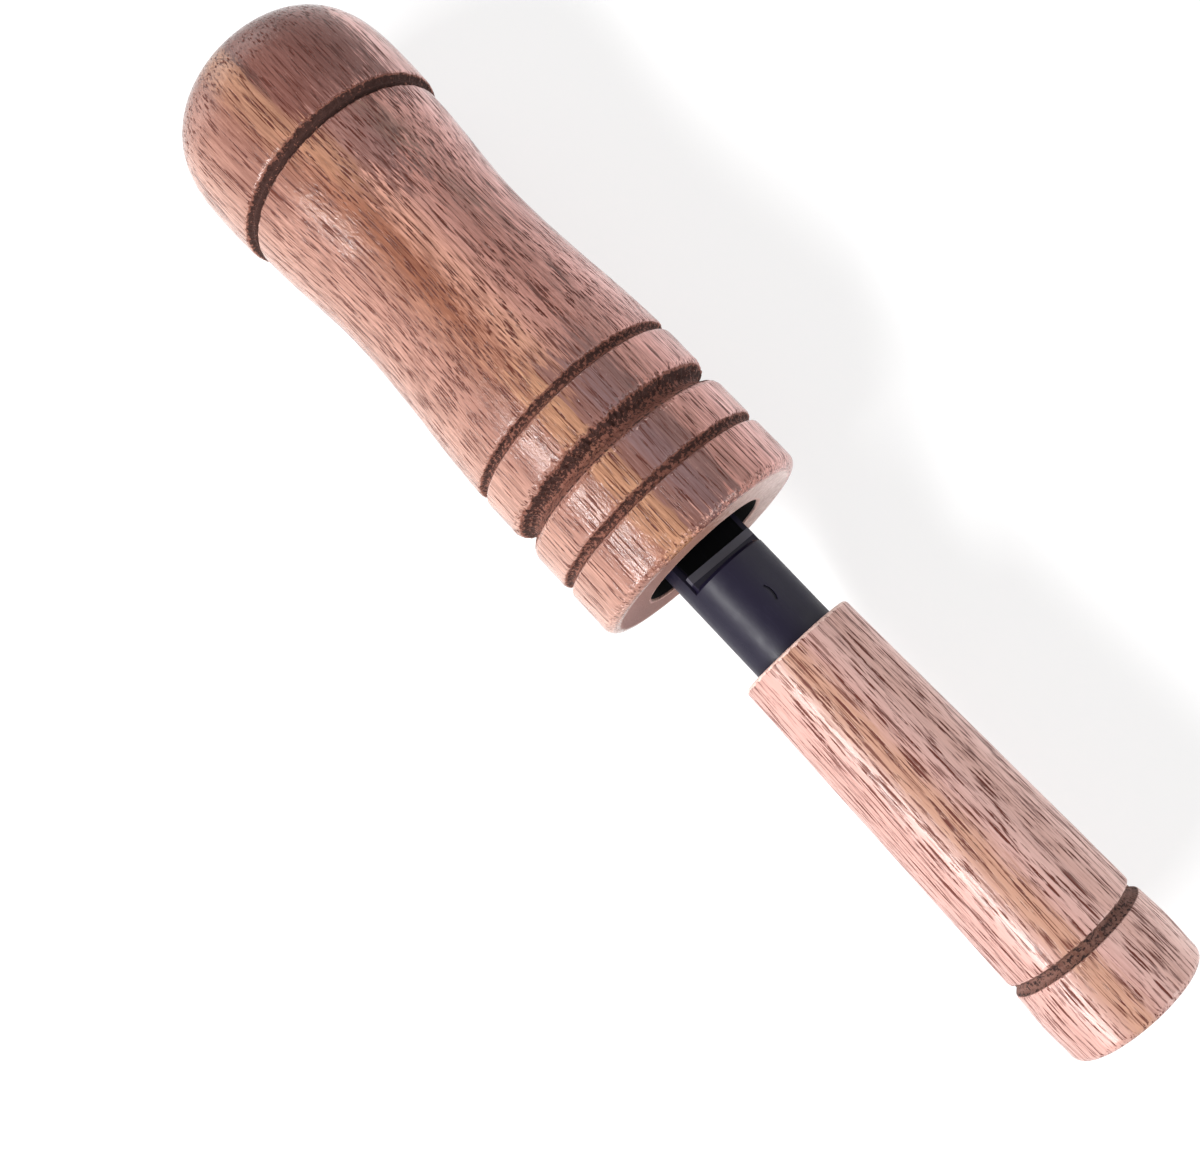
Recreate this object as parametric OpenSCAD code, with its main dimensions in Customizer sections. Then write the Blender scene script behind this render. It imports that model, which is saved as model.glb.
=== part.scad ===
// Turned walnut duck call, drawn with its stopper pulled part of the way out of the barrel.
// The call lies on its side: +X runs along its axis from the mouthpiece to the stopper's end, and +Z is up.

/* [Barrel] */
// Length from the socket mouth to the tip of the mouthpiece
barrel_l = 96.1; // [92:0.1:110]
// Radius of the rounded mouthpiece head at its fullest
head_r = 17.35; // [17:0.05:19]
// Distance from the socket mouth to the head's fullest place
head_x = 79.6; // [77:0.1:84]
// Roundness of the mouthpiece dome, where 1 is a plain ellipse and less is fuller
dome_share = 0.65; // [0.55:0.01:1]
// Radius of the head where it meets its groove
head_base_r = 17.2; // [16.9:0.05:17.35]
// Radius of the hand grip where it meets the head's groove
grip_top_r = 16.45; // [15.8:0.05:17]
// Radius of the waist where the fingers close
waist_r = 15.2; // [14.4:0.05:16]
// Distance from the socket mouth to the waist
waist_x = 54; // [46:0.5:60]
// Radius of the socket end
socket_end_r = 16.85; // [16:0.05:18]
// Length of the even stretch at the socket end
socket_end_l = 23; // [21:0.5:26]
// Rounding of the outer edge at the socket mouth
mouth_edge_r = 1.5; // [0.5:0.1:2.5]

/* [Barrel bores] */
// Depth to which the stopper goes into the socket when the call is shut
seat_depth = 29; // [24:0.5:31]
// Room left in front of the stopper's face when the call is shut
socket_relief_l = 2; // [1:0.1:4]
// Radius of the sound chamber
chamber_r = 7.94; // [7:0.01:8.4]
// Wall left between the sound chamber and the tip of the mouthpiece
dome_wall = 12; // [9:0.1:14]
// Radius of the hole that is blown into
mouth_r = 4.76; // [4:0.01:6]
// Rounding of the blowing hole's lip
mouth_lip_r = 1; // [0.4:0.1:1.5]

/* [Grooves] */
// Distance from the socket mouth to the groove next to the head
head_groove_x = 74; // [72:0.1:75.5]
// Distance from the socket mouth to the groove at the end of the grip
grip_groove_x = 25.6; // [24:0.1:29]
// Distance from the socket mouth to the lanyard groove
lanyard_groove_x = 17; // [15:0.1:19]
// Distance from the socket mouth to the groove next to it
end_groove_x = 8.5; // [5:0.1:10]
// Width of the narrow grooves in the barrel
groove_w = 1.6; // [1:0.1:2.4]
// Depth of the narrow grooves in the barrel
groove_depth = 1; // [0.5:0.05:1.5]
// Width of the lanyard groove
lanyard_w = 3.6; // [3:0.1:5]
// Depth of the lanyard groove
lanyard_depth = 2.1; // [1.4:0.05:2.6]

/* [Stopper] */
// Length of the stopper
stopper_l = 63.5; // [58:0.1:70]
// Distance from the socket mouth to the stopper's inner face, as the call is shown
pull_out = 17.3; // [16.5:0.1:22]
// Radius of the stopper's inner end
stopper_face_r = 8.83; // [8.5:0.01:9.2]
// Radius of the stopper's cone where it meets the groove
stopper_cone_r = 9.97; // [9.6:0.01:10.1]
// Distance from the inner face to the stopper's groove
stopper_groove_x = 49.8; // [46:0.1:52]
// Width of the stopper's groove
stopper_groove_w = 1.6; // [1:0.1:2.4]
// Depth of the stopper's groove
stopper_groove_depth = 0.7; // [0.4:0.05:1.2]
// Radius of the end band where it meets the groove
band_base_r = 10.12; // [9.9:0.01:10.38]
// Radius of the end band at its fullest
band_r = 10.4; // [10.2:0.01:11]
// Rounding of the stopper's outer corner
stopper_end_round = 1.8; // [0.6:0.1:2.5]
// Rounding of the stopper's inner corner
stopper_face_round = 0.6; // [0.2:0.1:1]
// Radius of the bore that lets the sound out
exhaust_r = 4.76; // [4:0.01:5.6]
// Rounding of the exhaust bore's lip
exhaust_lip_r = 0.8; // [0.3:0.1:1.2]

/* [Tone board] */
// Radius of the round insert that carries the reed
insert_r = 6.35; // [6:0.01:6.6]
// Length of the insert's round plug inside the stopper
plug_l = 24; // [18:0.5:28]
// Length of the tone board in front of the stopper
board_l = 46; // [42:0.5:48]
// Height of the reed's seat above the insert's axis
seat_h = 1.74; // [1.5:0.01:2]
// Drop of the sounding face at the board's tip
ramp_drop = 1.5; // [1:0.05:2]
// Radius of the round-bottomed tone channel
channel_r = 3; // [2.5:0.05:3.2]
// Depth of the channel's centre line below the insert's axis
channel_down = 1.2; // [1:0.05:1.3]
// Solid tip left in front of the tone channel
tip_wall = 3; // [1.5:0.1:5]
// Radius of the board's rounded tip, seen from above
tip_r = 8; // [6.8:0.1:12]
// Turn of the insert about its axis, as the call is shown
insert_roll = 25; // [0:1:45]

/* [Reed and wedge] */
// Width of the reed
reed_w = 10.4; // [8:0.1:10.8]
// Thickness of the reed
reed_t = 0.35; // [0.25:0.01:0.45]
// Distance by which the reed ends short of the board's tip
reed_short = 1; // [0.5:0.1:2]
// Corner radius of the reed's tip
reed_round = 2.4; // [1:0.1:3.5]
// Length of the wedge's round back in front of the stopper
wedge_back_l = 13.7; // [12:0.1:15]
// Length of the wedge's low toe
toe_l = 2; // [1:0.1:2.5]
// Height of the toe above the seat
toe_h = 0.86; // [0.6:0.01:1.2]
// Width of the toe
toe_w = 11.4; // [11:0.1:11.5]
// Length of the wedge's tail under the stopper's rim
tail_l = 2; // [1:0.1:4]
// Chamfer at the front of the wedge's round back
wedge_chamfer = 0.45; // [0.2:0.05:0.8]
// Length of the small nick in the wedge's crown
nick_l = 2.4; // [1.5:0.1:3]
// Width of the nick
nick_w = 0.4; // [0.3:0.05:0.6]
// Depth of the nick
nick_depth = 0.3; // [0.2:0.05:0.4]

/* [Clearances] */
// Gap round the shut stopper in its socket
seat_clearance = 0.06; // [0.02:0.01:0.1]
// Gap round the insert in the stopper, so that it can be turned
turn_clearance = 0.04; // [0.02:0.01:0.08]
// Gap at the end of the insert's plug
plug_end_clearance = 0.3; // [0.1:0.05:0.6]
// Gap behind the wedge's tail
tail_clearance = 0.2; // [0.1:0.05:0.4]
// Gap on each side of the reed under the wedge
reed_side_clearance = 0.1; // [0.05:0.01:0.2]

/* [Hidden] */

// Lengths that follow from the ones above
overrun = barrel_l / 50;
call_l = barrel_l + pull_out + stopper_l;
mouth_x = barrel_l - call_l / 2;
rim_r = mouth_r + mouth_lip_r;
chamber_end = barrel_l - dome_wall;
wedge_front = wedge_back_l + toe_l;
notch_back = tail_l + tail_clearance;
reed_tip = board_l - reed_short;
band_x = (stopper_groove_x + stopper_l) / 2;
cone_slope = (stopper_cone_r - stopper_face_r) / stopper_groove_x;
socket_back_r = stopper_face_r + seat_clearance;
socket_mouth_r = socket_back_r + cone_slope * seat_depth;

// Shares that shape the grooves, the drill's point and the stopper's band
groove_floor_share = 0.45;
lanyard_floor_share = 0.12;
lip_share = 0.16;
lip_depth_share = 0.3;
drill_point_share = 0.6;
band_end_share = 0.985;
plug_chamfer_share = 0.08;
channel_ledge_share = 1.03;
nick_bend_share = 0.9;
steps = 14;
arc_steps = 6;
$fn = 96;

// Smooth passage of a radius from one value to another
function eased(from, to, share) = from + (to - from) * (1 - cos(180 * share)) / 2;

// Points [radius, place] of a quarter round, from one angle to another
function arc(r, at_r, at_x, from, to) = [
    for (i = [0:arc_steps])
        let (a = from + (to - from) * i / arc_steps)
            [at_r + r * cos(a), at_x + r * sin(a)]
];

// Points of a smooth passage between two places on the outline
function passage(r0, x0, r1, x1) = [
    for (i = [0:steps])
        [eased(r0, r1, i / steps), x0 + (x1 - x0) * i / steps]
];

// Points of the mouthpiece dome, from the head's fullest place to the rim of the blowing hole
rim_angle = asin(pow(rim_r / head_r, 1 / dome_share));
dome_reach = (barrel_l - head_x) / pow(cos(rim_angle), dome_share);
function dome() = [
    for (i = [0:steps])
        let (a = 90 + (rim_angle - 90) * i / steps)
            [head_r * pow(sin(a), dome_share), head_x + dome_reach * pow(cos(a), dome_share)]
];

// Turns a list of [radius, place] points about the axis, from the origin to +Z
module turned(points) {
    rotate_extrude() polygon(points);
}

// Cutter for a turned groove: slanted walls, a narrow floor and eased shoulders
module groove(at, r, w, depth, floor_share) {
    lip = w * lip_share;
    turned([
        [r + overrun, at - w / 2 - lip],
        [r, at - w / 2 - lip],
        [r - depth * lip_depth_share, at - w / 2],
        [r - depth, at - w * floor_share / 2],
        [r - depth, at + w * floor_share / 2],
        [r - depth * lip_depth_share, at + w / 2],
        [r, at + w / 2 + lip],
        [r + overrun, at + w / 2 + lip]
    ]);
}

// Cutter for the rounded lip of a round hole that opens at the place given, towards +Z
module lip(at, hole_r, round_r) {
    turned(concat(
        [[0, at - round_r]],
        arc(round_r, hole_r + round_r, at - round_r, 180, 90),
        [[hole_r + round_r, at + overrun], [0, at + overrun]]
    ));
}

// Places a piece drawn along +Z, so that it runs from the socket mouth towards the mouthpiece
module towards_mouthpiece() {
    translate([mouth_x, 0, head_r]) rotate([0, -90, 0]) children();
}

// Places a piece drawn along +Z, so that it runs from the stopper's inner face to its end
module towards_stopper_end() {
    translate([mouth_x + pull_out, 0, head_r]) rotate([0, 90, 0]) children();
}

// Places a piece drawn on the insert's axis, with its origin at the stopper's face and its seat upwards
module on_insert() {
    translate([mouth_x + pull_out, 0, head_r]) rotate([-insert_roll, 0, 0]) children();
}

// Round rod along X between two places
module rod(r, from, to) {
    translate([from, 0, 0]) rotate([0, 90, 0]) cylinder(r = r, h = to - from);
}

// Block along X between two places, centred on Y, between two heights
module block(from, to, w, low, high) {
    translate([from, -w / 2, low]) cube([to - from, w, high - low]);
}

// Flat outline that runs along X, with rounded corners at its low end
module tongue(from, to, w, round_r) {
    translate([from + round_r, -w / 2]) square([to - from - round_r, w]);
    translate([from, -w / 2 + round_r]) square([round_r, w - 2 * round_r]);
    for (side = [-1, 1])
        translate([from + round_r, side * (w / 2 - round_r)]) circle(r = round_r);
}

// One piece of walnut: domed mouthpiece, waisted grip, grooved socket end, and the bores through it
module barrel() {
    color("#a5786a") towards_mouthpiece() difference() {
        turned(concat(
            [[0, 0]],
            arc(mouth_edge_r, socket_end_r - mouth_edge_r, mouth_edge_r, -90, 0),
            passage(socket_end_r, socket_end_l, waist_r, waist_x),
            passage(waist_r, waist_x, grip_top_r, head_groove_x),
            passage(head_base_r, head_groove_x, head_r, head_x),
            dome(),
            [[0, barrel_l]]
        ));
        groove(end_groove_x, socket_end_r, groove_w, groove_depth, groove_floor_share);
        groove(lanyard_groove_x, socket_end_r, lanyard_w, lanyard_depth, lanyard_floor_share);
        groove(grip_groove_x, socket_end_r, groove_w, groove_depth, groove_floor_share);
        groove(head_groove_x, grip_top_r, groove_w, groove_depth, groove_floor_share);
        socket();
        translate([0, 0, seat_depth]) cylinder(r = chamber_r, h = chamber_end - seat_depth);
        drill_point();
        translate([0, 0, chamber_end]) cylinder(r = mouth_r, h = dome_wall + overrun);
        lip(barrel_l, mouth_r, mouth_lip_r);
    }
}

// Tapered socket that follows the stopper's cone, with a short relief in front of it
module socket() {
    translate([0, 0, -overrun]) cylinder(
        r1 = socket_mouth_r + cone_slope * overrun,
        r2 = socket_back_r,
        h = overrun + seat_depth
    );
    translate([0, 0, seat_depth]) cylinder(r = socket_back_r, h = socket_relief_l);
}

// Cone left by the drill at the end of the sound chamber
module drill_point() {
    point_l = (chamber_r - mouth_r) * drill_point_share;
    translate([0, 0, chamber_end]) cylinder(r1 = chamber_r, r2 = mouth_r, h = point_l);
}

// Tapered walnut stopper with its end band, the insert's bore and the exhaust bore
module stopper() {
    color("#cf9f8b") towards_stopper_end() difference() {
        turned(concat(
            [[0, 0]],
            arc(stopper_face_round, stopper_face_r - stopper_face_round, stopper_face_round, -90, 0),
            [[stopper_cone_r, stopper_groove_x]],
            passage(band_base_r, stopper_groove_x, band_r, band_x),
            passage(band_r, band_x, band_r * band_end_share, stopper_l - stopper_end_round),
            arc(stopper_end_round, band_r * band_end_share - stopper_end_round,
                stopper_l - stopper_end_round, 0, 90),
            [[0, stopper_l]]
        ));
        groove(stopper_groove_x, stopper_cone_r, stopper_groove_w, stopper_groove_depth,
            groove_floor_share);
        translate([0, 0, -overrun]) cylinder(
            r = insert_r + turn_clearance,
            h = overrun + plug_l + plug_end_clearance
        );
        translate([0, 0, plug_l]) cylinder(r = exhaust_r, h = stopper_l - plug_l + overrun);
        lip(stopper_l, exhaust_r, exhaust_lip_r);
    }
}

// Moulded insert: round plug, reed seat, falling sounding face and the tone channel under the reed
module tone_board() {
    plug_chamfer = insert_r * plug_chamfer_share;
    color("#2e2c35") on_insert() difference() {
        rotate([0, 90, 0]) turned([
            [0, -board_l],
            [insert_r, -board_l],
            [insert_r, plug_l - plug_chamfer],
            [insert_r - plug_chamfer, plug_l],
            [0, plug_l]
        ]);
        block(-board_l - overrun, notch_back, 2 * insert_r + overrun, seat_h, insert_r + overrun);
        ramp();
        board_tip();
        tone_channel();
    }
}

// Cutter for the sounding face, which falls away from the reed in front of the wedge
module ramp() {
    rotate([90, 0, 0]) linear_extrude(2 * insert_r + overrun, center = true) polygon([
        [-wedge_front, seat_h],
        [-board_l, seat_h - ramp_drop],
        [-board_l - overrun, seat_h - ramp_drop],
        [-board_l - overrun, insert_r],
        [-wedge_front, insert_r]
    ]);
}

// Cutter that leaves the board's tip rounded, seen from above
module board_tip() {
    difference() {
        block(-board_l - overrun, tip_r - board_l, 2 * insert_r + overrun,
            -insert_r - overrun, insert_r + overrun);
        translate([tip_r - board_l, 0, -insert_r - 2 * overrun])
            cylinder(r = tip_r, h = 2 * insert_r + 4 * overrun);
    }
}

// Cutter for the tone channel: round floor, upright walls on a narrow ledge, and the plug's round bore
module tone_channel() {
    front = tip_wall - board_l;
    translate([0, 0, -channel_down]) rod(channel_r, front, plug_l + overrun);
    block(front, notch_back, 2 * channel_r * channel_ledge_share, -channel_down, insert_r);
}

// Half-round wedge that clamps the reed: round back flush with the insert, low toe and a tail
module reed_wedge() {
    color("#35333c") on_insert() difference() {
        union() {
            intersection() {
                union() {
                    rod(insert_r, wedge_chamfer - wedge_back_l, tail_l);
                    translate([-wedge_back_l, 0, 0]) rotate([0, 90, 0]) cylinder(
                        r1 = insert_r - wedge_chamfer,
                        r2 = insert_r,
                        h = wedge_chamfer
                    );
                }
                block(-wedge_back_l, tail_l, 2 * insert_r, seat_h, insert_r);
            }
            block(-wedge_front, wedge_chamfer - wedge_back_l, toe_w, seat_h, seat_h + toe_h);
        }
        block(-wedge_front - overrun, tail_l + overrun, reed_w + 2 * reed_side_clearance,
            seat_h - overrun, seat_h + reed_t);
        nick();
    }
}

// Cutter for the small curved nick on the wedge's crown
module nick() {
    bend_r = nick_l * nick_bend_share;
    half_angle = asin(nick_l / 2 / bend_r);
    translate([-wedge_back_l / 2, -bend_r, insert_r - nick_depth])
        rotate([0, 0, 90 - half_angle])
            rotate_extrude(angle = 2 * half_angle)
                translate([bend_r - nick_w / 2, 0]) square([nick_w, nick_depth + overrun]);
}

// Thin springy reed that lies on the seat and stands clear of the sounding face
module reed() {
    color("#1b1b20") on_insert()
        translate([0, 0, seat_h]) linear_extrude(reed_t)
            tongue(-reed_tip, tail_l, reed_w, reed_round);
}

barrel();
stopper();
tone_board();
reed_wedge();
reed();
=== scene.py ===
"""Looks of a turned walnut duck call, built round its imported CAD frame.

The barrel and the stopper are spun afresh as fine meshes, so that their grooves can be burnt and
torn as a lathe tool leaves them. The moulded tone board and its wedge get rounded edges, and the
reed is a thin sheet that bends from the wedge to its tip.

Lengths are millimetres until they reach a mesh. A place on the barrel is its distance from the
socket mouth towards the mouthpiece, and one on the stopper its distance from the inner face.
"""

import logging
import math
from collections.abc import Iterator
from dataclasses import dataclass
from enum import Enum

import bmesh
import bpy
from mathutils import Matrix, Vector, noise
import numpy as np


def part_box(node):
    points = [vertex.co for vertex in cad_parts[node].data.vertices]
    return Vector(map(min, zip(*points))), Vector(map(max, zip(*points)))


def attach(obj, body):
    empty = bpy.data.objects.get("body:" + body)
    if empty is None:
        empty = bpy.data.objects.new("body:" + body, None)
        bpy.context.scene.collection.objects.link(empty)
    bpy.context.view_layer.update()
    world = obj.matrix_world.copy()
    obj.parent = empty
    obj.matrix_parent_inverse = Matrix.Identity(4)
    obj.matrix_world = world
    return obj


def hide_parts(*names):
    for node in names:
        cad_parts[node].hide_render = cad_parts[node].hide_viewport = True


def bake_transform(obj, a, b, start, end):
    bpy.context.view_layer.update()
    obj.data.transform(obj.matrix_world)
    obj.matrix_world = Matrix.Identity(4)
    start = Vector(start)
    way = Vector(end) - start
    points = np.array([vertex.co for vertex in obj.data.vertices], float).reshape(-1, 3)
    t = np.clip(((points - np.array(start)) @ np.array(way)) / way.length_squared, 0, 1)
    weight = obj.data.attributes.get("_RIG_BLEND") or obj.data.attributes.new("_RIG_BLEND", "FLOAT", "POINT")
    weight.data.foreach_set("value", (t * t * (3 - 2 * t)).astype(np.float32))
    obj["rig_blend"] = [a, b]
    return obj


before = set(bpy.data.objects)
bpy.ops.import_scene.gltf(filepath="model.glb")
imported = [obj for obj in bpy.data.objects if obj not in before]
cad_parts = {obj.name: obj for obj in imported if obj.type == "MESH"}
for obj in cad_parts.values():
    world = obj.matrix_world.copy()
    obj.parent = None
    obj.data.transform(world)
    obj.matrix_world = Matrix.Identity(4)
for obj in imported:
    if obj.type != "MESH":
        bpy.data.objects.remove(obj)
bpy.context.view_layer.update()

LOG = logging.getLogger("duck_call")
MM = 0.001
PHOTO_WIDTH_PX = 1200
TOE_END = 10.4
WHITE = (1.0, 1.0, 1.0, 1.0)

Socket = bpy.types.NodeSocket
Value = Socket | float
Pair = tuple[float, float]
Stops = tuple[tuple[float, str], ...]


class Mark(Enum):
    """Vertex attributes that tell the walnut's shader how a place on it was worked, and where light is
    painted: painted shade in the bores, a painted shade line and a painted highlight at the grooves' clean
    shoulders, and a painted reflection on the end face.
    """

    BURN = "burn"
    WEAR_AND_HIGHLIGHT = "wear"
    BORE_SHADE = "bore"
    END = "end"


# Colours and nodes


def linear(colour: str) -> tuple[float, float, float, float]:
    """Turns an sRGB colour, written as "#rrggbb", into the linear colour that a shader takes."""
    parts = [int(colour[i : i + 2], 16) / 255 for i in (1, 3, 5)]
    red, green, blue = (c / 12.92 if c <= 0.04045 else ((c + 0.055) / 1.055) ** 2.4 for c in parts)
    return red, green, blue, 1.0


def add_node(tree: bpy.types.NodeTree, kind: str, inputs: dict | None = None, **settings) -> bpy.types.Node:
    """Adds a shader node with its settings, values and links.

    Args:
        tree: The node tree to add to.
        kind: The node's type, such as "ShaderNodeMix".
        inputs: Socket name or number to a value, or to the output socket that is linked to it.
        settings: Properties of the node itself.

    Returns:
        The new node.
    """
    node = tree.nodes.new(kind)
    for name, value in settings.items():
        setattr(node, name, value)
    for name, value in (inputs or {}).items():
        if isinstance(value, Socket):
            tree.links.new(value, node.inputs[name])
        else:
            node.inputs[name].default_value = value
    return node


@dataclass(frozen=True)
class Graph:
    """A node tree, with a short method for each kind of node that the finishes share."""

    tree: bpy.types.NodeTree

    @classmethod
    def of(cls, owner: bpy.types.Material | bpy.types.World) -> "Graph":
        """Returns the emptied node tree of a material or a world."""
        owner.use_nodes = True
        owner.node_tree.nodes.clear()
        return cls(owner.node_tree)

    def add(self, kind: str, inputs: dict | None = None, output: int | str = 0, **settings) -> Socket:
        """Adds a node and returns one of its outputs."""
        return add_node(self.tree, kind, inputs, **settings).outputs[output]

    def place(self, axis_height: float = 0.0) -> Socket:
        """Returns the place along the row and from an axis at the height given."""
        coordinates = self.add("ShaderNodeTexCoord", output="Object")
        return self.moved(coordinates, (1 / MM, 1 / MM, 1 / MM), (0, 0, -axis_height))

    def moved(self, vector: Socket, scale: tuple, shift: tuple = (0, 0, 0)) -> Socket:
        """Returns a place that is scaled and then shifted."""
        return self.add("ShaderNodeMapping", {"Vector": vector, "Location": shift, "Scale": scale})

    def axis(self, vector: Socket, number: int) -> Socket:
        """Returns one coordinate of a place: 0 is along the row and 1 across it."""
        return self.add("ShaderNodeSeparateXYZ", {0: vector}, number)

    def calc(self, operation: str, first: Value, second: Value = 0.0) -> Socket:
        """Returns the result of a sum."""
        return self.add("ShaderNodeMath", {0: first, 1: second}, operation=operation)

    def times(self, first: Value, *others: Value) -> Socket:
        """Returns the product of its values."""
        for other in others:
            first = self.calc("MULTIPLY", first, other)
        return first

    def cloud(self, vector: Socket, per_mm: float, detail: float, roughness: float = 0.5) -> Socket:
        """Returns noise that is the same in every direction, from 0 to 1."""
        inputs = {"Vector": vector, "Scale": per_mm, "Detail": detail, "Roughness": roughness}
        return self.add("ShaderNodeTexNoise", inputs, "Fac")

    def drawn_noise(
        self, vector: Socket, per_mm: Pair, detail: float, roughness: float = 0.6, shift: float = 0.0
    ) -> Socket:
        """Returns noise drawn out along the grain, from 0 to 1.

        Args:
            vector: Place in mm.
            per_mm: How fast it changes along and across the grain, in 1/mm.
            detail: Its octaves.
            roughness: How strong the fine octaves are.
            shift: Moves the pattern, so that two of them differ.

        Returns:
            The noise.
        """
        along, across = per_mm
        drawn_out = self.moved(vector, (along, across, across), (shift, 0.7 * shift, 1.3 * shift))
        return self.cloud(drawn_out, 1.0, detail, roughness)

    def spread(
        self, value: Socket, low: float, high: float, bottom: float = 0.0, top: float = 1.0, **settings
    ) -> Socket:
        """Returns bottom at low and top at high, even between them and level beyond them."""
        return self.add("ShaderNodeMapRange", {0: value, 1: low, 2: high, 3: bottom, 4: top}, **settings)

    def rise(self, value: Socket, low: float, high: float, top: float = 1.0) -> Socket:
        """Returns 0 at low and top at high, with a smooth rise between them."""
        return self.spread(value, low, high, top=top, interpolation_type="SMOOTHSTEP")

    def within(self, value: Socket, middle: float, reach: float, fade: float) -> Socket:
        """Returns 1 near a middle and 0 beyond its reach, with soft edges as wide as fade."""
        away = self.calc("ABSOLUTE", self.calc("SUBTRACT", value, middle))
        return self.rise(away, reach + fade / 2, reach - fade / 2)

    def blend(self, amount: Value, under: Value, over: Value) -> Socket:
        """Passes from one value to another by an amount from 0 to 1."""
        return self.add("ShaderNodeMix", {0: amount, 2: under, 3: over}, data_type="FLOAT")

    def lay(self, amount: Value, under: Socket | str, over: Socket | str) -> Socket:
        """Lays a colour over another by an amount from 0 to 1."""
        under, over = (linear(colour) if isinstance(colour, str) else colour for colour in (under, over))
        return self.add("ShaderNodeMix", {0: amount, 6: under, 7: over}, 2, data_type="RGBA")

    def ramp(self, share: Socket, stops: Stops) -> Socket:
        """Returns the colour at a share of the way through colour stops that run from 0 to 1."""
        ramp = add_node(self.tree, "ShaderNodeValToRGB", {0: share})
        elements = ramp.color_ramp.elements
        elements[0].color = linear(stops[0][1])
        elements[1].color = linear(stops[-1][1])
        for at, colour in stops[1:-1]:
            elements.new(at).color = linear(colour)
        return ramp.outputs[0]

    def bump(
        self, height: Socket, depth: float, strength: float, under: Value = 0.0, inwards: bool = False
    ) -> Socket:
        """Raises or sinks the skin.

        Args:
            height: How far the skin moves, as a share of depth.
            depth: The whole way, in mm.
            strength: How much of it shows, from 0 to 1.
            under: The normal that it lies on, or 0 for the mesh itself.
            inwards: Whether the skin sinks.

        Returns:
            The normal.
        """
        inputs = {"Height": height, "Distance": depth * MM, "Strength": strength}
        if isinstance(under, Socket):
            inputs["Normal"] = under
        return self.add("ShaderNodeBump", inputs, invert=inwards)

    def finish(self, colour: Socket, roughness: Socket, normal: Socket, ior: float, specular: float) -> None:
        """Joins a finish's colour, roughness and normal into its shader, with the skin's gloss."""
        inputs = {"Base Color": colour, "Roughness": roughness, "Normal": normal}
        inputs |= {"IOR": ior, "Specular IOR Level": specular}
        shader = add_node(self.tree, "ShaderNodeBsdfPrincipled", inputs)
        self.show("ShaderNodeOutputMaterial", shader)

    def show(self, kind: str, shader: bpy.types.Node) -> None:
        """Links the last shader to the tree's output."""
        add_node(self.tree, kind, {"Surface": shader.outputs[0]})


@dataclass(frozen=True)
class Dashes:
    """Open pores of one size, cut lengthwise, which show as dark tapered dashes along the grain.

    Fields:
        length: Spacing of the dashes along the grain, in mm.
        spacing: Spacing of the dashes across the grain, in mm.
        width_share: Half the width of a dash as a share of the spacing.
        strength: How dark the open pores in a dash are, from 0 to 1.
        halo: How dark the stained wood round them is, from 0 to 1.
        core: Share of its width over which a dash is wholly dark.
        strokes: Strokes into which a dash breaks up along and across its spacing.
        shift: Shift of the pattern from one size of dashes to the next.
        first: Row place where they begin, in mm.
        last: Row place where they end, in mm.
        fade: Length over which they come and go, in mm.
    """

    length: float
    spacing: float
    width_share: float
    strength: float
    halo: float
    core: float = 0.55
    strokes: Pair = (4.5, 2.2)
    shift: tuple[float, float, float] = (7.3, 3.1, 5.7)
    first: float = -200.0
    last: float = 200.0
    fade: float = 12.0


@dataclass(frozen=True)
class Patch:
    """A part of the wood with a colour of its own, drawn out along the grain, with soft edges.

    Fields:
        colour: Its colour.
        share: How strongly it shows, from 0 to 1.
        along: Row place of its middle, in mm.
        across: Distance of its middle from the axis, in mm.
        reach: Half its length, in mm.
        spread: Half its width, in mm.
        end_fade: Length of its soft ends, in mm.
        side_fade: Width of its soft sides, in mm.
    """

    colour: str
    share: float
    along: float
    across: float
    reach: float
    spread: float
    end_fade: float
    side_fade: float


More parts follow.
